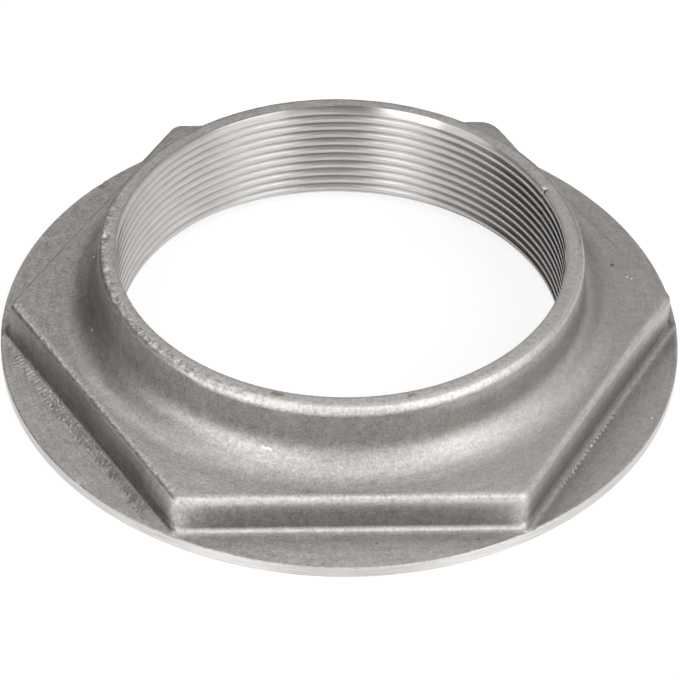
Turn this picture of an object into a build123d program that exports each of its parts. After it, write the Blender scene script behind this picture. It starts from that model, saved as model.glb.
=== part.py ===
from math import cos, pi, radians, tan
import os

from build123d import *

os.makedirs("parts", exist_ok=True)

# A hub nut cast in one piece: a thin round flange, a low hexagon for the spanner, and a
# tall round collar whose bore is turned and threaded. Millimetres, +Z is the thread axis,
# and the origin is the middle of the flange's underside.

# Hexagon
across_flats = 42.86          # spanner size 1-11/16 in, at the top of the walls
hexagon_height = 2.95         # from the flange's upper face to the hexagon's top face
wall_draft = 2.0              # degrees, the walls lean inwards as they rise
corner_radius = 0.5           # the six upright corners
top_edge_radius = 0.4         # the worn edge round the hexagon's top face
foot_radius = 0.5             # where the walls run out into the flange

# Flange
flange_thickness = 0.93
rim_margin = 0.655            # from the hexagon's sharp corner to the rim
rim_edge = 0.08               # broken edges of the turned rim

# Collar
collar_height = 5.29          # from the hexagon's top face to the collar's top face
collar_wall = 1.35            # at the top, from the bore to the outside
collar_draft = 1.5            # degrees
collar_edge_radius = 0.5      # outer edge of the top face
root_radius = 2.7             # hollow curve from the collar down to the hexagon
shoulder_land = 0.2           # least flat left between that curve and the worn edge

# Bore
thread_minor_diameter = 33.2  # crests of a fine left-hand thread, 34 x 0.75
lead_in = 0.12                # broken edge at the collar's top face
countersink = 1.0             # 45 degree chamfer under the flange

hexagon_base = flange_thickness
hexagon_top = hexagon_base + hexagon_height
overall_height = hexagon_top + collar_height
foot_apothem = across_flats / 2 + hexagon_height * tan(radians(wall_draft))
flange_radius = across_flats / 2 / cos(pi / 6) + rim_margin
bore_radius = thread_minor_diameter / 2
collar_top_radius = bore_radius + collar_wall
collar_foot_radius = collar_top_radius + collar_height * tan(radians(collar_draft))
shoulder_width = across_flats / 2 - collar_foot_radius
root_fillet = min(root_radius, shoulder_width - top_edge_radius - shoulder_land)

with BuildPart() as hub_nut:
    # Flange: a flat disc under the hexagon
    with BuildSketch(Plane.XY):
        Circle(flange_radius)
    extrude(amount=flange_thickness)

    # Hexagon with drafted walls, two of its flats square to Y
    with BuildSketch(Plane.XY.offset(hexagon_base)):
        RegularPolygon(radius=foot_apothem, side_count=6, major_radius=False)
        fillet(vertices(), radius=corner_radius)
    extrude(amount=hexagon_height, taper=wall_draft)

    # Collar with a drafted outside
    with BuildSketch(Plane.XY.offset(hexagon_top)):
        Circle(collar_foot_radius)
    extrude(amount=collar_height, taper=collar_draft)

    # Hollow curve between the collar and the hexagon's top face
    collar_root = edges().filter_by(GeomType.CIRCLE).filter_by(
        lambda edge: abs(edge.radius - collar_foot_radius) < 1e-4
    )
    fillet(collar_root, radius=root_fillet)

    # Worn edge round the hexagon's top face, and the run-out of its walls into the flange
    shoulder = faces().filter_by(Plane.XY).filter_by(
        lambda face: abs(face.center().Z - hexagon_top) < 1e-4
    )
    fillet(shoulder[0].outer_wire().edges(), radius=top_edge_radius)
    flange_face = faces().filter_by(Plane.XY).filter_by(
        lambda face: abs(face.center().Z - hexagon_base) < 1e-4
    )
    fillet(flange_face[0].inner_wires()[0].edges(), radius=foot_radius)

    # Rounded outer edge of the collar's top face
    fillet(faces().sort_by(Axis.Z)[-1].outer_wire().edges(), radius=collar_edge_radius)

    # Bore at the thread's minor diameter, with its broken edge and its countersink
    with BuildSketch(Plane.XY):
        Circle(bore_radius)
    extrude(amount=overall_height, mode=Mode.SUBTRACT)
    bore_edges = edges().filter_by(GeomType.CIRCLE).filter_by(
        lambda edge: abs(edge.radius - bore_radius) < 1e-4
    )
    chamfer(bore_edges.sort_by(Axis.Z)[-1], length=lead_in)
    chamfer(bore_edges.sort_by(Axis.Z)[0], length=countersink)

    # Turned rim, its two edges broken
    rim_edges = edges().filter_by(GeomType.CIRCLE).filter_by(
        lambda edge: abs(edge.radius - flange_radius) < 1e-4
    )
    chamfer(rim_edges, length=rim_edge)

hub_nut.part.label = "hub_nut"
export_step(hub_nut.part, "parts/hub_nut.step")
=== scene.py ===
from itertools import pairwise
from math import atan2, cos, degrees, hypot, pi, radians, sin, tan

import bpy
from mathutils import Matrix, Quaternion, Vector, noise


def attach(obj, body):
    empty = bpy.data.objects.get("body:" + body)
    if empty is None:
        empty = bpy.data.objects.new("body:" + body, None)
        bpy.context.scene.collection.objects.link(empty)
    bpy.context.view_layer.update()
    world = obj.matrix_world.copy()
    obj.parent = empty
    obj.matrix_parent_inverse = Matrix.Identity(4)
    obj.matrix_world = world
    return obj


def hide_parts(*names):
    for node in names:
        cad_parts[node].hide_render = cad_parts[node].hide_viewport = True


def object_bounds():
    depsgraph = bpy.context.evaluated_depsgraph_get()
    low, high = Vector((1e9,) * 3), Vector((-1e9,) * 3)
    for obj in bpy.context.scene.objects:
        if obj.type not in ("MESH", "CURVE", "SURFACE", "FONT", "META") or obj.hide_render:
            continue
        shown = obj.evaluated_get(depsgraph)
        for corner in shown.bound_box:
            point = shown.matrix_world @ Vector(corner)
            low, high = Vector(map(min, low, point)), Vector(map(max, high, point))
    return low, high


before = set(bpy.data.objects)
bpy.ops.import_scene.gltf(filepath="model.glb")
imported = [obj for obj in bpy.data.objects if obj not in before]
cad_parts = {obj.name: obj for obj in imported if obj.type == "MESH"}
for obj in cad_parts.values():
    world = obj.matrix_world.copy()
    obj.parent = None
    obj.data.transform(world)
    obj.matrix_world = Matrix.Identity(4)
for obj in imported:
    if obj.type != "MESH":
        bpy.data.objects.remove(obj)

solid_low, solid_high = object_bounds()
MM = 0.001

# Nut blank. The real one is cast in one piece: a thin round flange, a low spanner hexagon
# with drafted walls, and a tall collar that runs into the hexagon in a hollow curve.
# The hexagon's top edge is drawn first and carried ring by ring all round the section.
bpy.ops.object.select_all(action="DESELECT")
rim_radius = solid_high.x
overall_height = solid_high.z
flange_thickness = 0.93 * MM
rim_edge = 0.08 * MM
flat_apothem = 21.43 * MM
hexagon_top = 3.88 * MM
wall_draft = radians(2)
top_edge_radius = 0.4 * MM
foot_radius = 0.45 * MM
ledge_height = 0.05 * MM
ledge_width = 0.4 * MM
corner_tangent = 0.5 * MM
collar_radius = 17.95 * MM
collar_draft = radians(1.5)
collar_edge_radius = 0.5 * MM
root_radius = 2.7 * MM
bore_radius = 16.6 * MM
lead_in = 0.12 * MM
countersink = 1.0 * MM
same_place = 0.001 * MM
side_cuts = 100
corner_segments = 6
edge_steps = 8
wall_steps = 7
foot_end = 258
ledge_steps = 3
rim_steps = 3
land_steps = 4
collar_steps = 8
root_steps = 14
top_cuts = 6
flange_cuts = 9


def line(start, end, steps):
    """Points of a straight stretch of the section after its start, as pairs of width and height."""
    width, height = end[0] - start[0], end[1] - start[1]
    return [
        (start[0] + width * step / steps, start[1] + height * step / steps)
        for step in range(1, steps + 1)
    ]


def arc(centre_width, centre_height, radius, start, end, steps):
    """Points of a round stretch of the section, turned in degrees from level."""
    turns = [radians(start + (end - start) * step / steps) for step in range(steps + 1)]
    return [(centre_width + radius * cos(turn), centre_height + radius * sin(turn)) for turn in turns]


def add_rings(section):
    """Extrudes the selected ring along the section, scaling and lifting it at each point."""
    for (width, height), (next_width, next_height) in pairwise(section):
        scale = next_width / width
        bpy.ops.mesh.extrude_edges_move()
        bpy.ops.transform.resize(value=(scale, scale, 1), center_override=(0, 0, 0))
        bpy.ops.transform.translate(value=(0, 0, next_height - height))


def add_round_ring(radius, height):
    """Extrudes the selected hexagonal ring, level, to a circle of that radius."""
    bpy.ops.mesh.extrude_edges_move()
    bpy.ops.transform.tosphere(value=1, center_override=(0, 0, height))
    bpy.context.object.update_from_editmode()
    ring = [vertex.co.to_2d().length for vertex in bpy.context.object.data.vertices if vertex.select]
    scale = radius * len(ring) / sum(ring)
    bpy.ops.transform.resize(value=(scale, scale, 1), center_override=(0, 0, 0))


def select_edges(chosen):
    """Selects the edges whose two ends pass the given test, in edit mode."""
    bpy.ops.mesh.select_all(action="DESELECT")
    bpy.ops.object.mode_set(mode="OBJECT")
    mesh = bpy.context.object.data
    for edge in mesh.edges:
        first, second = (mesh.vertices[index].co for index in edge.vertices)
        edge.select = chosen(first, second)
    bpy.ops.object.mode_set(mode="EDIT")


def spans(inner_test, outer_test):
    """Makes a test for the edges that run from one such place to the other."""

    def test(first, second):
        return (inner_test(first) and outer_test(second)) or (inner_test(second) and outer_test(first))

    return test


bpy.ops.mesh.primitive_circle_add(
    vertices=6,
    radius=(flat_apothem - top_edge_radius) / cos(pi / 6),
    location=(0, 0, 0),
    rotation=(0, 0, pi / 2),
)
nut = bpy.context.object
nut.name = "turned_hub_nut"
bpy.ops.object.transform_apply(location=True, rotation=True)
bpy.ops.object.mode_set(mode="EDIT")
bpy.context.tool_settings.mesh_select_mode = (False, True, False)
bpy.ops.mesh.select_all(action="SELECT")
bpy.ops.mesh.bevel(offset=corner_tangent, segments=corner_segments, affect="VERTICES")
select_edges(lambda first, second: (first - second).length > flat_apothem / 2)
bpy.ops.mesh.subdivide(number_cuts=side_cuts)
bpy.ops.mesh.select_all(action="SELECT")
bpy.ops.transform.translate(value=(0, 0, hexagon_top))

collar_foot = collar_radius + (overall_height - hexagon_top) * tan(collar_draft)
root_circle = collar_foot + root_radius
add_round_ring(root_circle, hexagon_top)
select_edges(
    lambda first, second: min(first.to_2d().length, second.to_2d().length) > root_circle + same_place
)

wall_foot = flat_apothem + (hexagon_top - flange_thickness) * tan(wall_draft)
ledge_top = flange_thickness + ledge_height
hexagon_section = arc(
    flat_apothem - top_edge_radius, hexagon_top - top_edge_radius, top_edge_radius, 90, 0, edge_steps
)
foot_arc = arc(wall_foot + foot_radius, ledge_top + foot_radius, foot_radius, 180, foot_end, edge_steps)
hexagon_section += line(hexagon_section[-1], foot_arc[0], wall_steps) + foot_arc[1:]
hexagon_section += line(foot_arc[-1], (foot_arc[-1][0] + ledge_width, flange_thickness), ledge_steps)
add_rings(hexagon_section)
add_round_ring(rim_radius - rim_edge, flange_thickness)
turned_section = [(rim_radius - rim_edge, flange_thickness), (rim_radius, flange_thickness - rim_edge)]
turned_section += line(turned_section[-1], (rim_radius, rim_edge), rim_steps)
turned_section += [(rim_radius - rim_edge, 0), (bore_radius + countersink, 0), (bore_radius, countersink)]
turned_section += [(bore_radius, overall_height - lead_in), (bore_radius + lead_in, overall_height)]
add_rings(turned_section)
edge_start = collar_radius - collar_edge_radius
edge_arc = arc(edge_start, overall_height - collar_edge_radius, collar_edge_radius, 90, 0, edge_steps)
root_arc = arc(root_circle, hexagon_top + root_radius, root_radius, 180, 270, root_steps)
collar_section = [turned_section[-1]] + line(turned_section[-1], edge_arc[0], land_steps) + edge_arc[1:]
collar_section += line(edge_arc[-1], root_arc[0], collar_steps) + root_arc[1:]
add_rings(collar_section)
bpy.ops.mesh.select_all(action="SELECT")
bpy.ops.mesh.remove_doubles(threshold=same_place)
select_edges(spans(
    lambda place: abs(place.to_2d().length - root_circle) < same_place,
    lambda place: place.to_2d().length > root_circle + same_place and place.z > hexagon_top - same_place,
))
bpy.ops.mesh.subdivide(number_cuts=top_cuts)
select_edges(spans(
    lambda place: abs(place.to_2d().length - rim_radius + rim_edge) < same_place and place.z > rim_edge,
    lambda place: place.to_2d().length < rim_radius - rim_edge - same_place,
))
bpy.ops.mesh.subdivide(number_cuts=flange_cuts)

# Comb marks. A cutter chattered along the foot of two walls: it left short slanted strokes
# outside the left front one, and beaded the ledge of the right front one.
front_wall = -90
left_front_wall = -150
right_front_wall = -30
comb_wall = radians(left_front_wall)
comb_pitch = 0.38 * MM
comb_slant = 0.45
comb_turn = 0.035
comb_depth = 0.09 * MM
bead_wall = radians(right_front_wall)
bead_pitch = 0.5 * MM
bead_height = 0.13 * MM
bead_hollow = -0.3
cuts_along = 3
cuts_across = 5


def along_wall(place, facing):
    """How far a place lies out from the axis towards that wall, and how far along it."""
    out = place.x * cos(facing) + place.y * sin(facing)
    along = place.y * cos(facing) - place.x * sin(facing)
    return out, along


def ramp(value, start, end):
    """Rises smoothly from 0 at the start value to 1 at the end value."""
    share = min(max((value - start) / (end - start), 0), 1)
    return share * share * (3 - 2 * share)


def uneven(value, seed=0):
    """A smooth random wander between about -1 and 1 that turns once or so in each unit."""
    return 1.6 * noise.noise((value, seed, 0.5))


def comb_share(place):
    """How strongly the comb marks show at a place."""
    out, along = along_wall(place, comb_wall)
    if place.z > ledge_top + same_place or place.z < flange_thickness - same_place:
        return 0
    stroke_end = (22.65 + 0.25 * uneven(along / (0.4 * MM), 3)) * MM
    across = ramp(out, 21.86 * MM, 22 * MM) * ramp(out, stroke_end + 0.15 * MM, stroke_end - 0.15 * MM)
    return across * ramp(along, -10.2 * MM, -9 * MM) * ramp(along, 9.8 * MM, 8.8 * MM)


def comb_wave(place):
    """Height of the comb marks across their strokes, between about -1 and 1."""
    out, along = along_wall(place, comb_wall)
    slant = comb_slant + comb_turn * along / MM
    stroke = 2 * pi * (along - slant * (out - wall_foot)) / comb_pitch + 2.2 * uneven(along / (1.3 * MM))
    return (0.85 + 0.5 * uneven(along / (0.6 * MM), 7)) * sin(stroke)


def bead_share(place):
    """How strongly the beads on the ledge show at a place."""
    out, along = along_wall(place, bead_wall)
    if place.z > ledge_top + same_place or place.z < flange_thickness + same_place:
        return 0
    across = ramp(out, 21.75 * MM, 21.9 * MM) * ramp(out, 22.25 * MM, 22.1 * MM)
    return across * ramp(along, -8 * MM, -7 * MM) * ramp(along, 2.4 * MM, 1.4 * MM)


def bead_wave(place):
    """Height of the beads along the ledge, between about -1 and 1."""
    along = along_wall(place, bead_wall)[1]
    stroke = 2 * pi * along / bead_pitch + 3 * uneven(along / (1.5 * MM), 5)
    return (0.7 + 0.5 * uneven(along / (0.7 * MM), 9)) * sin(stroke)


def runs_along(first, second, facing):
    """Whether an edge runs along that wall rather than away from it."""
    return abs(along_wall(first, facing)[0] - along_wall(second, facing)[0]) < 0.02 * MM


def in_comb(first, second):
    """Whether either end of an edge lies in the comb marks."""
    return comb_share(first) + comb_share(second) > 0


def in_beads(first, second):
    """Whether either end of an edge lies in the row of beads."""
    return bead_share(first) + bead_share(second) > 0


select_edges(lambda first, second: in_comb(first, second) and runs_along(first, second, comb_wall))
bpy.ops.mesh.subdivide(number_cuts=cuts_along)
select_edges(lambda first, second: in_comb(first, second) and not runs_along(first, second, comb_wall))
bpy.ops.mesh.subdivide(number_cuts=cuts_across)
select_edges(lambda first, second: in_beads(first, second) and runs_along(first, second, bead_wall))
bpy.ops.mesh.subdivide(number_cuts=cuts_along)
bpy.ops.mesh.select_all(action="SELECT")
bpy.ops.mesh.dissolve_degenerate(threshold=same_place)
bpy.ops.mesh.normals_make_consistent(inside=False)
bpy.ops.object.mode_set(mode="OBJECT")
corner_limit = rim_radius - 1.5 * rim_edge
for vertex in nut.data.vertices:
    spread = vertex.co.to_2d().length
    if vertex.co.z > flange_thickness + same_place and spread > corner_limit:
        vertex.co.xy *= corner_limit / spread
for vertex in nut.data.vertices:
    comb = comb_share(vertex.co)
    bead = bead_share(vertex.co)
    if comb > 0:
        vertex.co.z += comb * comb_depth * comb_wave(vertex.co)
    if bead > 0:
        vertex.co.z += bead * bead_height * max(bead_wave(vertex.co), bead_hollow)

# Cast skin. The blasted casting isn't true: its faces wave a little. The collar's outer edge is
# burred on the left and knocked flat at the front, and the hexagon's right back edge is sharp,
# with a proud corner at each end.
skin_grain = 3.2 * MM
skin_depth = 0.008 * MM
pit_grain = 0.6 * MM
pit_depth = 0.01 * MM
burr_grain = 0.3 * MM
burr_depth = 0.12 * MM
collar_burr = (17.5 * MM, 9.15 * MM)
wall_burr = (21.2 * MM, 3.82 * MM)
rim_fade = 0.6 * MM
bore_fade = 0.35 * MM
sharp_wall = radians(30)
sharpness = 0.92
knocked = 0.4
proud_corners = {60: 0.25 * MM, 0: 0.18 * MM}


def skin_share(place):
    """How far a place belongs to the cast skin, fading out at the turned rim and bore."""
    spread = place.to_2d().length
    if place.z < flange_thickness - same_place:
        return 0
    from_rim = ramp(spread, rim_radius - rim_edge, rim_radius - rim_fade)
    return from_rim * ramp(spread, bore_radius + lead_in, bore_radius + bore_fade)


def bearing(place):
    """Bearing of a place round the axis, from 0 to 360 degrees, with 0 at the right."""
    return degrees(atan2(place.y, place.x)) % 360


def left_share(place):
    """How far a place lies round the left of the collar, where its edge is burred."""
    return ramp(bearing(place), 150, 170) * ramp(bearing(place), 262, 232)


def burr_share(place):
    """How close a place is to the burred edge of the collar or of the comb-marked wall."""
    spread = place.to_2d().length
    collar = ramp(hypot(spread - collar_burr[0], place.z - collar_burr[1]), 0.45 * MM, 0.1 * MM)
    out = along_wall(place, comb_wall)[0]
    wall = ramp(hypot(out - wall_burr[0], place.z - wall_burr[1]), 0.4 * MM, 0.1 * MM)
    return max(collar * (0.15 + 0.85 * left_share(place)), wall * 0.4)


def front_share(place):
    """How far a place lies round the front of the collar, where its edge is knocked flat."""
    return ramp(bearing(place), 225, 255) * ramp(bearing(place), 330, 300)


def roughen(share, grain, depth):
    """Pushes each vertex in or out by a smooth random amount, as strongly as its share."""
    moves = [
        vertex.normal * share(vertex.co) * depth * noise.noise(vertex.co / grain)
        for vertex in nut.data.vertices
    ]
    for vertex, move in zip(nut.data.vertices, moves):
        vertex.co += move


for vertex in nut.data.vertices:
    spread = vertex.co.to_2d().length
    if spread > edge_start and vertex.co.z > overall_height - collar_edge_radius:
        bulge = (spread - edge_start) - (overall_height - vertex.co.z)
        flatten = knocked * front_share(vertex.co) * bulge / 2
        vertex.co.xy *= 1 - flatten / spread
        vertex.co.z -= flatten
    out, along = along_wall(vertex.co, sharp_wall)
    if out > flat_apothem - top_edge_radius and vertex.co.z > hexagon_top - top_edge_radius:
        pull = sharpness * ramp(abs(along), 12.3 * MM, 11 * MM)
        vertex.co.xy *= 1 + pull * (flat_apothem - out) / out
        vertex.co.z += pull * (hexagon_top - vertex.co.z)
    for corner, width in proud_corners.items():
        away = abs((bearing(vertex.co) - corner + 180) % 360 - 180)
        proud = ramp(away, 14, 3) * ramp(spread, 21.5 * MM, 24 * MM)
        proud *= ramp(vertex.co.z, flange_thickness, hexagon_top)
        vertex.co.xy *= 1 + proud * width / max(spread, bore_radius)
nut.data.update()
roughen(skin_share, skin_grain, skin_depth)
roughen(skin_share, pit_grain, pit_depth)
roughen(burr_share, burr_grain, burr_depth)
nut.data.update()

# Knocks. Handling has nicked the collar, the rim and one wall, and raised burrs beside the nicks.
# Each has its bearing, its distance from the axis and its height, then its size and its depth,
# which is negative for a burr.
knocks = [
    (-168.9, 22.54, 3.60, 0.45, 0.18),
    (135.7, 25.20, 0.93, 0.40, 0.14),
    (-139.4, 25.30, 0.90, 0.35, 0.10),
    (153.5, 25.15, 0.93, 0.35, -0.08),
    (152.4, 24.39, 0.93, 0.35, -0.08),
    (22.2, 16.70, 9.17, 0.32, 0.12),
    (175.7, 17.47, 9.17, 0.45, 0.20),
    (178.3, 17.30, 9.10, 0.30, -0.10),
    (171.1, 17.70, 9.10, 0.35, -0.10),
    (-176.1, 17.62, 9.08, 0.35, -0.10),
    (-160.8, 17.80, 9.05, 0.40, -0.12),
    (-142.7, 17.80, 9.05, 0.35, -0.10),
    (-129.4, 17.80, 9.05, 0.35, -0.09),
    (-106.2, 18.05, 7.21, 0.30, 0.06),
]


def place_at(bearing_there, spread_mm, height_mm):
    """The place at that bearing, distance from the axis and height."""
    turn = radians(bearing_there)
    return Vector((spread_mm * cos(turn), spread_mm * sin(turn), height_mm)) * MM


for bearing_there, spread_mm, height_mm, size_mm, depth_mm in knocks:
    middle = place_at(bearing_there, spread_mm, height_mm)
    size = size_mm * MM
    near = [vertex for vertex in nut.data.vertices if (vertex.co - middle).length < size]
    moves = [vertex.normal * depth_mm * MM * ramp((vertex.co - middle).length, size, 0) for vertex in near]
    for vertex, move in zip(near, moves):
        vertex.co -= move
for vertex in nut.data.vertices:
    vertex.co.z = min(vertex.co.z, overall_height)
    vertex.co.xy *= min(1, rim_radius / max(vertex.co.to_2d().length, bore_radius))

# Thread. A fine left-hand thread, cut by a coil with the thread's groove as its section. The
# lead-in above it is wider at the back right, where the thread starts.
pitch = 0.75 * MM
groove_radius = 16.96 * MM
coil_inner = 16.5 * MM
groove_flat = pitch / 12
start_drop = 0.5 * MM
start_width = 0.2 * MM
narrow_start = 0.07 * MM
first_groove = 8.45 * MM
steps_per_turn = 240
thread_turns = 12
smooth_angle = radians(35)
half_flat = groove_flat / 2
half_open = half_flat + (groove_radius - coil_inner) * tan(radians(30))
bpy.ops.mesh.primitive_plane_add(size=1, location=(0, 0, 0))
coil = bpy.context.object
corners = [
    (coil_inner, -half_open),
    (groove_radius, -half_flat),
    (coil_inner, half_open),
    (groove_radius, half_flat),
]


def start_share(place):
    """How much wider the lead-in is at the bearing of a place."""
    return ramp(bearing(place), 36, 62) * ramp(bearing(place), 102, 82)


for vertex, (width, height) in zip(coil.data.vertices, corners):
    vertex.co = (width, 0, height)
screw = coil.modifiers.new("turns", "SCREW")
screw.axis = "Z"
screw.angle = radians(360)
screw.steps = screw.render_steps = steps_per_turn
screw.iterations = thread_turns
screw.screw_offset = -pitch
screw.use_normal_calculate = True
bpy.ops.object.modifier_apply(modifier="turns")
bpy.ops.object.mode_set(mode="EDIT")
bpy.ops.mesh.select_all(action="SELECT")
bpy.ops.transform.translate(value=(0, 0, first_groove))
bpy.ops.mesh.remove_doubles(threshold=same_place / 10)
bpy.ops.mesh.select_non_manifold()
bpy.ops.mesh.edge_face_add()
bpy.ops.mesh.select_all(action="SELECT")
bpy.ops.mesh.normals_make_consistent(inside=False)
bpy.ops.object.mode_set(mode="OBJECT")
for vertex in nut.data.vertices:
    spread = vertex.co.to_2d().length
    below_top = overall_height - vertex.co.z
    if abs(spread - bore_radius) < lead_in / 2 and below_top < 2 * lead_in:
        vertex.co.z -= start_drop * start_share(vertex.co)
    if abs(spread - bore_radius - lead_in) < lead_in / 2 and below_top < lead_in / 2:
        vertex.co.xy *= 1 + (start_width * start_share(vertex.co) - narrow_start) / spread
bpy.ops.object.select_all(action="DESELECT")
bpy.context.view_layer.objects.active = nut
cut = nut.modifiers.new("thread", "BOOLEAN")
cut.operation = "DIFFERENCE"
cut.solver = "EXACT"
cut.object = coil
bpy.ops.object.modifier_apply(modifier="thread")
bpy.data.objects.remove(coil)
bpy.ops.object.select_all(action="DESELECT")
nut.select_set(True)
bpy.ops.object.shade_smooth_by_angle(angle=smooth_angle)

# Blasted cast steel, the skin as it left the shot blaster: a warm grey metal, matt from its
# own grain and mottled. Painted shade darkens its upright walls and their feet, and painted
# highlight, partly wear, brightens the collar's top, the hollow at its foot and the hexagon's
# edges, corners and ledges. A few specks mark it.
skin_dark = "A29E9B"
skin_light = "D6D2CE"
painted_shade_tone = "CBC9C8"
wear_and_highlight_colour = "EAE6E2"
speck_dark = "837E7A"
smudge = "A8A39F"
crumb_dark = "A5A19E"
crumb_highlight = "F4F0EC"
speck_light = "F2EEEA"
grain_size = 0.17 * MM
mottle_size = 0.55 * MM
cloud_size = 5 * MM
flow_width = 0.25 * MM
flow_length = 3 * MM
wear_size = 0.28 * MM
ragged_size = 0.12 * MM
mottle_share = 0.5
flow_share = 0.4
coarse_to = -4 * MM
fine_from = 15 * MM
fine_share = 0.6
crumb_height = 0.12 * MM
dimple_height = 0.025 * MM
grit_height = 0.02 * MM
half_wall = 12.37
specks = [
    (10.2, 21.03, 3.88, 0.22, speck_dark),
    (-68.2, 24.36, 0.93, 0.14, speck_dark),
    (-85.2, 22.99, 0.93, 0.12, speck_dark),
    (-108.4, 17.00, 9.17, 0.24, smudge),
    (-107.3, 17.03, 9.17, 0.30, smudge),
    (-106.2, 17.00, 9.17, 0.22, smudge),
    (-75.6, 17.08, 9.17, 0.22, smudge),
    (-74.6, 17.00, 9.17, 0.18, smudge),
    (-24.3, 24.78, 0.93, 0.13, speck_light),
    (6.1, 21.85, 3.88, 0.14, speck_light),
    (5.5, 22.13, 3.88, 0.13, speck_light),
    (166.9, 18.90, 4.66, 0.16, speck_light),
    (-167.5, 18.86, 4.69, 0.16, speck_light),
    (-174.3, 19.23, 3.95, 0.13, speck_light),
    (-169.5, 18.54, 4.60, 0.13, speck_light),
    (-157.5, 18.72, 4.50, 0.12, speck_light),
    (-109.3, 18.47, 5.18, 0.13, speck_light),
    (-108.7, 18.48, 5.16, 0.13, speck_light),
    (-108.1, 18.48, 5.17, 0.14, speck_light),
    (-107.5, 18.48, 5.15, 0.12, speck_light),
]
# Strength of the painted highlight and wear on each wall's top edge and on the flange beside it; the walls
# that face the front get the most.
wall_wear_and_highlight = {front_wall: 0.85, left_front_wall: 0.6, right_front_wall: 0.4}
hidden_wall_wear_and_highlight = 0.15
flange_top_wear_and_highlight = {front_wall: 0.05, left_front_wall: 0.2}


def linear(colour):
    """Turns an sRGB hex colour into the linear values that a shader takes."""
    parts = [int(colour[place:place + 2], 16) / 255 for place in (0, 2, 4)]
    return [part / 12.92 if part <= 0.04045 else ((part + 0.055) / 1.055) ** 2.4 for part in parts] + [1]


def add_node(tree, kind, settings=None, **links):
    """Adds a node. Settings are its own options or input values, and links name its inputs."""
    node = tree.nodes.new("ShaderNode" + kind)
    for name, value in (settings or {}).items():
        if isinstance(name, str) and hasattr(node, name):
            setattr(node, name, value)
        else:
            node.inputs[name].default_value = value
    for name, socket in links.items():
        place = int(name[1:]) if name[0] == "_" else name.replace("_", " ")
        tree.links.new(socket, node.inputs[place])
    return node


def new_material(name):
    """Adds a material with nodes to the nut, and gives its tree and its shader."""
    material = bpy.data.materials.new(name)
    material.use_nodes = True
    nut.data.materials.append(material)
    return material.node_tree, material.node_tree.nodes["Principled BSDF"]


def wall_of(place):
    """The bearing, from -150 to 150 degrees, of the hexagon's wall on that side of the axis."""
    return 60 * round((bearing(place) - 30) / 60) % 360 + (30 if bearing(place) < 180 else -330)


def past_collar_edge(place):
    """How far past the start of the collar's rounded edge a place is, outwards and down, in mm."""
    return (place.to_2d().length - edge_start + overall_height - place.z) / MM


def past_wall_edge(place, facing):
    """How far past the start of a wall's rounded top edge a place is, outwards and down, in mm."""
    out = along_wall(place, radians(facing))[0]
    return (out - flat_apothem + top_edge_radius + hexagon_top - place.z) / MM


def collar_wear_and_highlight(place):
    """How strongly painted highlight and wear brighten the collar's top and the hollow at its foot.
    Lengths are in mm.
    """
    spread, height, turn = place.to_2d().length / MM, place.z / MM, bearing(place)
    past_edge = past_collar_edge(place)
    right_back = ramp(turn, 110, 60)
    right = max(right_back, ramp(turn, 325, 350))
    start = -0.25 + 0.55 * ramp(turn, 225, 285) - 0.5 * right_back - right * ramp(turn, 300, 350)
    end = 0.25 + 0.85 * ramp(turn, 212, 240)
    strip = ramp(past_edge, start - 0.12, start + 0.12) * ramp(past_edge, end + 0.12, end - 0.12)
    strip *= ramp(spread, 18.3, 18.2)
    strip *= 0.35 + 0.25 * right + 0.5 * ramp(turn, 205, 240) * ramp(turn, 335, 305)
    ring = ramp(spread, 16.65, 16.75) * ramp(past_edge, 0.2, 0) * ramp(height, 8.9, 9.05)
    ring *= 0.45 + 0.35 * ramp(turn, 205, 250) * ramp(turn, 340, 320)
    left = ramp(turn, 232, 187)
    left_front = ramp(turn, 190, 212) * ramp(turn, 256, 238)
    hollow = ramp(spread, 18.2 + 1.1 * left, 18.6 + 1.1 * left)
    hollow *= ramp(height, 3.6, 3.8) * ramp(height, 7, 6.5)
    hollow *= 0.12 * ramp(spread, 20.8, 20.2) + 0.2 * left_front
    return max(strip, ring, hollow)


def hexagon_wear_and_highlight(place):
    """How strongly painted highlight and wear brighten the hexagon's edges, corners and ledges. Lengths
    are in mm.
    """
    spread, height = place.to_2d().length / MM, place.z / MM
    turn, facing = bearing(place), wall_of(place)
    out, along = (length / MM for length in along_wall(place, radians(facing)))
    past_edge = past_wall_edge(place, facing)
    edge = ramp(past_edge, -0.25, 0.1) * ramp(past_edge, 1.05, 0.7)
    corner = ramp(abs(abs(along) - half_wall), 1.3, 0.3) * ramp(spread, 22.5, 23.5) * ramp(height, 1, 1.3)
    corner *= 0.45 if 200 < turn < 340 else 0
    ledge = 0
    if facing == left_front_wall:
        edge = ramp(past_edge, -0.25, -0.05) * ramp(past_edge, 0.3, 0.15)
        ledge = 0.9 * comb_share(place) * ramp(comb_wave(place), -0.1, 0.5)
    elif facing == front_wall:
        ledge = 0.7 * ramp(abs(out - 21.85), 0.32, 0.1) * ramp(height, 1.3, 1.1)
    elif facing == right_front_wall:
        beads = ramp(bead_share(place), 0.2, 0.8) * ramp(bead_wave(place), 0.2, 0.7)
        ledge = max(0.45 * ramp(abs(out - 21.98), 0.2, 0.08) * ramp(height, 1.3, 1.1), beads)
    edge *= wall_wear_and_highlight.get(facing, hidden_wall_wear_and_highlight) * ramp(height, 3.0, 3.3)
    return max(edge, corner, ledge)


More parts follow.
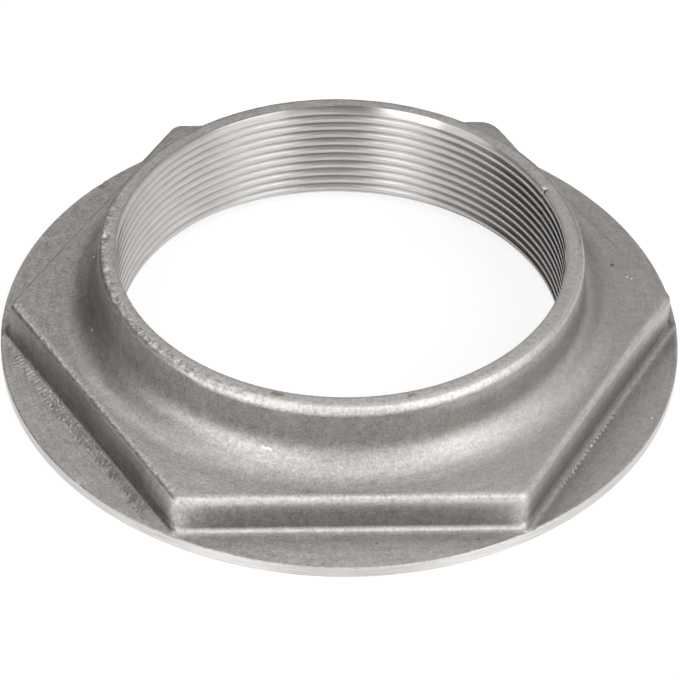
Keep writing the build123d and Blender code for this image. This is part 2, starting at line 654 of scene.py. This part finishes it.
def flange_wear_and_highlight(place):
    """How strongly painted highlight and wear brighten the flange and its rim. Lengths are in mm."""
    spread, height, facing = place.to_2d().length / MM, place.z / MM, wall_of(place)
    out = along_wall(place, radians(facing))[0] / MM
    top = flange_top_wear_and_highlight.get(facing, 0) * ramp(out, 22.1, 22.4) * ramp(height, 1, 0.96)
    rim = 0.5 * ramp(spread, 25.3, 25.35) * ramp(height, 0.92, 0.88)
    return max(top, rim)


def wear_and_highlight_share(place):
    """How strongly painted highlight and wear brighten a place."""
    return max(collar_wear_and_highlight(place), hexagon_wear_and_highlight(place), flange_wear_and_highlight(place))


def painted_shade_share(place, normal):
    """How strongly painted shade darkens a place, as on upright walls, at their feet and at the bore's
    right. Lengths are in mm.
    """
    spread, height = place.to_2d().length / MM, place.z / MM
    turn, facing = bearing(place), wall_of(place)
    out, along = (length / MM for length in along_wall(place, radians(facing)))
    if spread > 25.2 or normal.z < -0.5:
        return 0
    if spread < 17.1 and height < 9.1:
        first = 0.9 * ramp(height, 8.62, 8.72) * ramp(turn, 50, 40)
        return 1.1 * max(min((72 - turn) / 44, 1), ramp(turn, 300, 330), 0) + first
    left = min(max((232 - turn) / 45, 0), 1) * ramp(turn, 135, 165)
    right_front = ramp(turn, 282, 300) * ramp(turn, 355, 345) * ramp(height, 7.4, 8.2)
    if height > 3.95:
        upright = ramp(normal.z, 0.6 + 0.3 * left, 0.15 + 0.45 * left) * ramp(normal.z, -0.9, -0.5)
        return upright * (1 + 0.5 * left - 0.6 * right_front) * ramp(spread, 18.6 + left, 18.3 + left)
    upright = ramp(normal.z, 0.6, 0.15) * ramp(normal.z, -0.9, -0.5)
    foot = ramp(abs(out - 21.65), 0.35, 0.1) * ramp(height, 2, 1.5)
    if facing == left_front_wall:
        upright = ramp(normal.z, 0.95, 0.6) * ramp(out, 20.9, 21.1) * ramp(height, 1.3, 1.5)
        wall = 1.35 - 0.5 * ramp(along, -4, 6) * ramp(height, 2.2, 3) - 0.8 * ramp(along, 6, 12.3)
        foot = 1.4 * ramp(out, 22.0, 21.6) * ramp(height, 2, 1.5)
    elif facing == front_wall:
        wall = 0.35 + 0.8 * ramp(height, 3.45, 2.6) - 0.3 * ramp(abs(along), 9, 12)
        foot = 0
    elif facing == right_front_wall:
        wall = 0.75 * ramp(height, 3, 2.2) + 0.2 * ramp(height, 2, 1.5)
        foot = max(foot, 0.85 * ramp(out, 25.2, 21.8) * ramp(height, 1.1, 1))
    else:
        wall = 0.35 + 0.85 * ramp(height, 3.5, 1.6)
    return max(upright * wall, foot)


def crumbled_share(place):
    """How crumbly the collar's left edge and the left front wall's top are. Lengths are in mm."""
    spread, height = place.to_2d().length / MM, place.z / MM
    past_edge = past_collar_edge(place)
    strip = ramp(past_edge, -0.35, -0.15) * ramp(past_edge, 0.4, 0.2) * ramp(spread, 18.3, 18.2)
    strip *= ramp(bearing(place), 154, 172) * ramp(bearing(place), 256, 230)
    past_edge = past_wall_edge(place, left_front_wall)
    edge = ramp(past_edge, -0.2, 0) * ramp(past_edge, 0.5, 0.25)
    edge *= ramp(height, 3, 3.3) * ramp(spread, 20.5, 21)
    return max(0.65 * strip, 0.4 * edge)


def shade_and_highlight(tree, colour, patches):
    """Darkens a colour with painted shade and brightens it with painted highlight and wear, in patches."""
    shade_mask = add_node(tree, "Attribute", {"attribute_name": "painted_shade"}).outputs["Fac"]
    shade_settings = {"data_type": "RGBA", "blend_type": "MULTIPLY", "clamp_factor": False}
    shade_settings[7] = linear(painted_shade_tone)
    colour = add_node(tree, "Mix", shade_settings, _0=shade_mask, _6=colour).outputs[2]
    wear_and_highlight = add_node(tree, "Attribute", {"attribute_name": "wear_and_highlight"}).outputs["Fac"]
    patchy = {"From Min": 0.35, "From Max": 0.6, "To Min": 0.25}
    patches = add_node(tree, "MapRange", patchy, Value=patches).outputs["Result"]
    wear_and_highlight = add_node(tree, "Math", {"operation": "MULTIPLY"}, _0=wear_and_highlight, _1=patches).outputs[0]
    highlight_settings = {"data_type": "RGBA", 7: linear(wear_and_highlight_colour)}
    return add_node(tree, "Mix", highlight_settings, _0=wear_and_highlight, _6=colour).outputs[2]


def store(name, shares):
    """Stores a share at each vertex of the nut, for the materials to read."""
    attribute = nut.data.attributes.new(name, "FLOAT", "POINT")
    attribute.data.foreach_set("value", shares)


# Shares of painted highlight with wear, of painted shade, and of crumbliness, stored for the materials.
store("wear_and_highlight", [wear_and_highlight_share(vertex.co) for vertex in nut.data.vertices])
store("painted_shade", [painted_shade_share(vertex.co, vertex.normal) for vertex in nut.data.vertices])
store("crumbled", [crumbled_share(vertex.co) for vertex in nut.data.vertices])
tree, shader = new_material("blasted_cast_steel")
place = add_node(tree, "TexCoord").outputs["Object"]
fine = {"Detail": 2, "Roughness": 0.6}
grain = add_node(tree, "TexNoise", {"Scale": 1 / grain_size, **fine}, Vector=place).outputs["Fac"]
mottle = add_node(tree, "TexNoise", {"Scale": 1 / mottle_size, **fine}, Vector=place).outputs["Fac"]
cloud = add_node(tree, "TexNoise", {"Scale": 1 / cloud_size, "Detail": 2}, Vector=place).outputs["Fac"]
wear = add_node(tree, "TexNoise", {"Scale": 1 / wear_size, "Detail": 3, "Roughness": 0.7}, Vector=place)
apart = add_node(tree, "SeparateXYZ", {}, Vector=place).outputs
turn = add_node(tree, "Math", {"operation": "ARCTAN2"}, _0=apart["Y"], _1=apart["X"]).outputs[0]
turn = add_node(tree, "Math", {"operation": "MULTIPLY", 1: rim_radius / flow_length}, _0=turn).outputs[0]
flat = add_node(tree, "VectorMath", {"operation": "MULTIPLY", 1: (1, 1, 0)}, _0=place).outputs[0]
spread = add_node(tree, "VectorMath", {"operation": "LENGTH"}, _0=flat).outputs["Value"]
spread = add_node(tree, "Math", {"operation": "DIVIDE", 1: flow_width}, _0=spread).outputs[0]
round_place = add_node(tree, "CombineXYZ", {}, X=spread, Y=turn).outputs[0]
flow = add_node(tree, "TexNoise", {"Scale": 1, "Detail": 2}, Vector=round_place).outputs["Fac"]
settings = {"operation": "MULTIPLY_ADD", 1: mottle_share}
tones = add_node(tree, "Math", settings, _0=mottle, _2=grain).outputs[0]
tones = add_node(tree, "Math", {"operation": "MULTIPLY_ADD", 1: flow_share}, _0=flow, _2=tones).outputs[0]
settings = {"From Min": 0.68, "From Max": 1.22, "To Min": -0.5, "To Max": 0.5}
tones = add_node(tree, "MapRange", settings, Value=tones).outputs["Result"]
settings = {"From Min": coarse_to, "From Max": fine_from, "To Min": 1, "To Max": fine_share}
coarse = add_node(tree, "MapRange", settings, Value=apart["X"]).outputs["Result"]
tones = add_node(tree, "Math", {"operation": "MULTIPLY_ADD", 2: 0.5}, _0=tones, _1=coarse).outputs[0]
settings = {"data_type": "RGBA", 6: linear(skin_dark), 7: linear(skin_light)}
colour = add_node(tree, "Mix", settings, _0=tones).outputs[2]
colour = shade_and_highlight(tree, colour, wear.outputs["Fac"])
# Crumbly places get painted highlights in patches, on top of their bumps.
crumbled = add_node(tree, "Attribute", {"attribute_name": "crumbled"}).outputs["Fac"]
crumb_highlights = add_node(tree, "MapRange", {"From Min": 0.38, "From Max": 0.6}, Value=wear.outputs["Fac"])
settings = {"data_type": "RGBA", 6: linear(crumb_dark), 7: linear(crumb_highlight)}
crumb_highlights = add_node(tree, "Mix", settings, _0=crumb_highlights.outputs["Result"]).outputs[2]
colour = add_node(tree, "Mix", {"data_type": "RGBA"}, _0=crumbled, _6=colour, _7=crumb_highlights).outputs[2]
ragged_shift = Vector((ragged_size, ragged_size, ragged_size))
settings = {"operation": "MULTIPLY_ADD", 1: ragged_shift}
ragged = add_node(tree, "VectorMath", settings, _0=wear.outputs["Color"], _2=place).outputs[0]
for bearing_there, spread_mm, height_mm, size_mm, tone in specks:
    middle = place_at(bearing_there, spread_mm, height_mm) + ragged_shift / 2
    away = add_node(tree, "VectorMath", {"operation": "DISTANCE", 1: middle}, _0=ragged)
    settings = {"From Min": size_mm * MM, "From Max": size_mm * MM / 2}
    share = add_node(tree, "MapRange", settings, Value=away.outputs["Value"]).outputs["Result"]
    colour = add_node(tree, "Mix", {"data_type": "RGBA", 7: linear(tone)}, _0=share, _6=colour).outputs[2]
tree.links.new(colour, shader.inputs["Base Color"])
settings = {"From Min": 0.3, "From Max": 0.7, "To Min": 0.50, "To Max": 0.56}
gloss = add_node(tree, "MapRange", settings, Value=cloud).outputs["Result"]
tree.links.new(gloss, shader.inputs["Roughness"])
shader.inputs["Metallic"].default_value = 1
crumbs = add_node(tree, "Math", {"operation": "SUBTRACT", 1: 0.5}, _0=wear.outputs["Fac"]).outputs[0]
crumbs = add_node(tree, "Math", {"operation": "MULTIPLY"}, _0=crumbled, _1=crumbs).outputs[0]
bumps = add_node(tree, "Bump", {"Strength": 1, "Distance": crumb_height}, Height=crumbs)
for depth, pattern in ((dimple_height, mottle), (grit_height, grain)):
    links = {"Strength": coarse, "Height": pattern, "Normal": bumps.outputs["Normal"]}
    bumps = add_node(tree, "Bump", {"Distance": depth}, **links)
tree.links.new(bumps.outputs["Normal"], shader.inputs["Normal"])

# Turned steel, where the bore, the thread, the rim and the underside were machined: bright,
# with fine lines round the axis that streak it and pull each reflection out across them.
turned_dark = "BCB9B7"
turned_light = "E0DEDC"
line_length = 2.5 * MM
line_width = 0.05 * MM
line_depth = 0.002 * MM
tree, shader = new_material("turned_steel")
place = add_node(tree, "TexCoord").outputs["Object"]
apart = add_node(tree, "SeparateXYZ", {}, Vector=place).outputs
flat = add_node(tree, "VectorMath", {"operation": "MULTIPLY", 1: (1, 1, 0)}, _0=place).outputs[0]
spread = add_node(tree, "VectorMath", {"operation": "LENGTH"}, _0=flat).outputs["Value"]
across = add_node(tree, "Math", {"operation": "ADD"}, _0=apart["Z"], _1=spread).outputs[0]
lined = add_node(tree, "CombineXYZ", {}, X=apart["X"], Y=apart["Y"], Z=across).outputs[0]
line_scale = (1 / line_length, 1 / line_length, 1 / line_width)
lined = add_node(tree, "Mapping", {"Scale": line_scale}, Vector=lined).outputs[0]
settings = {"Scale": 1, "Detail": 3, "Roughness": 0.6}
streaks = add_node(tree, "TexNoise", settings, Vector=lined).outputs["Fac"]
tones = add_node(tree, "MapRange", {"From Min": 0.3, "From Max": 0.7}, Value=streaks).outputs["Result"]
settings = {"data_type": "RGBA", 6: linear(turned_dark), 7: linear(turned_light)}
colour = add_node(tree, "Mix", settings, _0=tones).outputs[2]
# Painted shade darkens the bore's right and the top of its back right; painted highlight and wear brighten
# the rim and the bore's top edge.
colour = shade_and_highlight(tree, colour, streaks)
tree.links.new(colour, shader.inputs["Base Color"])
lines = add_node(tree, "Bump", {"Strength": 1, "Distance": line_depth}, Height=streaks)
tree.links.new(lines.outputs["Normal"], shader.inputs["Normal"])
shader.inputs["Metallic"].default_value = 1
shader.inputs["Roughness"].default_value = 0.3
shader.inputs["Anisotropic"].default_value = 0.95
shader.inputs["Anisotropic Rotation"].default_value = 0.25
around = add_node(tree, "Tangent", {"direction_type": "RADIAL", "axis": "Z"})
tree.links.new(around.outputs["Tangent"], shader.inputs["Tangent"])
for face in nut.data.polygons:
    spread, height = face.center.to_2d().length, face.center.z
    in_bore = spread < groove_radius + 0.1 * MM and height < overall_height - 0.02 * MM
    in_bore = in_bore and abs(face.normal.z) < 0.95
    rim_face = spread > rim_radius - 0.2 * rim_edge and height < flange_thickness
    face.material_index = int(in_bore or rim_face or face.normal.z < -0.5)
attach(nut, "root")
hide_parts("hub_nut")

# White table. A wide sheet of paper, white to the camera and in the metal's reflections,
# that still takes a faint shadow from the nut.
table_size = 6.0
paper_colour = "969696"
paper_glow = 0.78
bpy.ops.mesh.primitive_plane_add(size=table_size, location=(0, 0, 0))
table = bpy.context.object
table.name = "white_table"
paper = bpy.data.materials.new("white_paper")
paper.use_nodes = True
table.data.materials.append(paper)
tree = paper.node_tree
ray = add_node(tree, "LightPath").outputs
seen = add_node(tree, "Math", {"operation": "MAXIMUM"}, _0=ray["Is Camera Ray"], _1=ray["Is Glossy Ray"])
seen = add_node(tree, "Math", {"operation": "MAXIMUM"}, _0=seen.outputs[0], _1=ray["Is Transmission Ray"])
glow = add_node(tree, "Math", {"operation": "MULTIPLY", 1: paper_glow}, _0=seen.outputs[0])
lit = add_node(tree, "Emission", {}, Strength=glow.outputs[0])
matt = add_node(tree, "BsdfDiffuse", {"Color": linear(paper_colour)})
both = add_node(tree, "AddShader", {}, _0=lit.outputs[0], _1=matt.outputs[0])
tree.links.new(both.outputs[0], tree.nodes["Material Output"].inputs["Surface"])

# Studio. A dark room with soft boxes round the nut. Each is a patch of the dome, given by the
# bearing and height of its middle, its width and height in degrees, and its brightness.
room_light = 0
box_edge = 5
soft_boxes = [
    (-124, 36, 27, 75, 3.2),
    (-48, 36, 34, 75, 2.9),
    (-88, 66, 46, 13, 1.5),
    (-10, 42, 41, 61, 1.25),
    (32, 44, 45, 32, 1.1),
    (75, 59, 40, 28, 1.05),
    (112, 59, 35, 28, 1.85),
    (-152, 9, 34, 18, 2.0),
    (176, 66, 92, 13, 2.4),
    (166, 82, 112, 19, 0.5),
]
studio = bpy.data.worlds.new("studio")
bpy.context.scene.world = studio
studio.use_nodes = True
tree = studio.node_tree
look = add_node(tree, "TexCoord").outputs["Generated"]


def soft_box(light, towards, height, width, tall, strength):
    """Adds a soft-edged box of light to the light that the dome has so far."""
    settings = {"rotation_type": "Z_AXIS", "Angle": -radians(towards)}
    turned = add_node(tree, "VectorRotate", settings, Vector=look).outputs[0]
    part = add_node(tree, "SeparateXYZ", {}, Vector=turned).outputs
    side = add_node(tree, "Math", {"operation": "ARCTAN2"}, _0=part["Y"], _1=part["X"]).outputs[0]
    rise = add_node(tree, "Math", {"operation": "ARCSINE"}, _0=part["Z"]).outputs[0]
    rise = add_node(tree, "Math", {"operation": "SUBTRACT", 1: radians(height)}, _0=rise).outputs[0]
    shares = []
    for angle, size in ((side, width), (rise, tall)):
        distance = add_node(tree, "Math", {"operation": "ABSOLUTE"}, _0=angle).outputs[0]
        edges = {"From Min": radians((size + box_edge) / 2), "From Max": radians((size - box_edge) / 2)}
        edges["interpolation_type"] = "SMOOTHSTEP"
        shares.append(add_node(tree, "MapRange", edges, Value=distance).outputs["Result"])
    box = add_node(tree, "Math", {"operation": "MULTIPLY"}, _0=shares[0], _1=shares[1]).outputs[0]
    return add_node(tree, "Math", {"operation": "MULTIPLY_ADD", 1: strength}, _0=box, _2=light).outputs[0]


light = add_node(tree, "Value").outputs[0]
light.default_value = room_light
for box in soft_boxes:
    light = soft_box(light, *box)
camera_ray = add_node(tree, "LightPath").outputs["Is Camera Ray"]
light = add_node(tree, "Math", {"operation": "MAXIMUM"}, _0=light, _1=camera_ray).outputs[0]
tree.links.new(light, tree.nodes["Background"].inputs["Strength"])
tree.nodes["Background"].inputs["Color"].default_value = (1, 1, 1, 1)

# Camera, at the photograph's viewing angle. Its lens is given in pixels of the 680 pixel
# wide frame, and it stands a little off the line through the nut's middle.
camera_azimuth = radians(-2.793)
camera_elevation = radians(41.344)
camera_roll = radians(1.294)
camera_distance = 279.4 * MM
frame_width = 680
lens_pixels = 3707.34
aside_pixels = 0.64
below_pixels = 1.23
level = cos(camera_elevation)
back = Vector((sin(camera_azimuth) * level, -cos(camera_azimuth) * level, sin(camera_elevation)))
camera = bpy.data.objects.new("camera", bpy.data.cameras.new("camera"))
bpy.context.scene.collection.objects.link(camera)
camera.data.lens = lens_pixels * camera.data.sensor_width / frame_width
camera.rotation_mode = "QUATERNION"
camera.rotation_quaternion = (-back).to_track_quat("-Z", "Y") @ Quaternion((0, 0, 1), camera_roll)
right, above, _ = camera.rotation_quaternion.to_matrix().col
pixel = camera_distance / lens_pixels
camera.location = back * camera_distance + right * pixel * aside_pixels - above * pixel * below_pixels
bpy.context.scene.camera = camera
bpy.context.scene.view_settings.view_transform = "Standard"
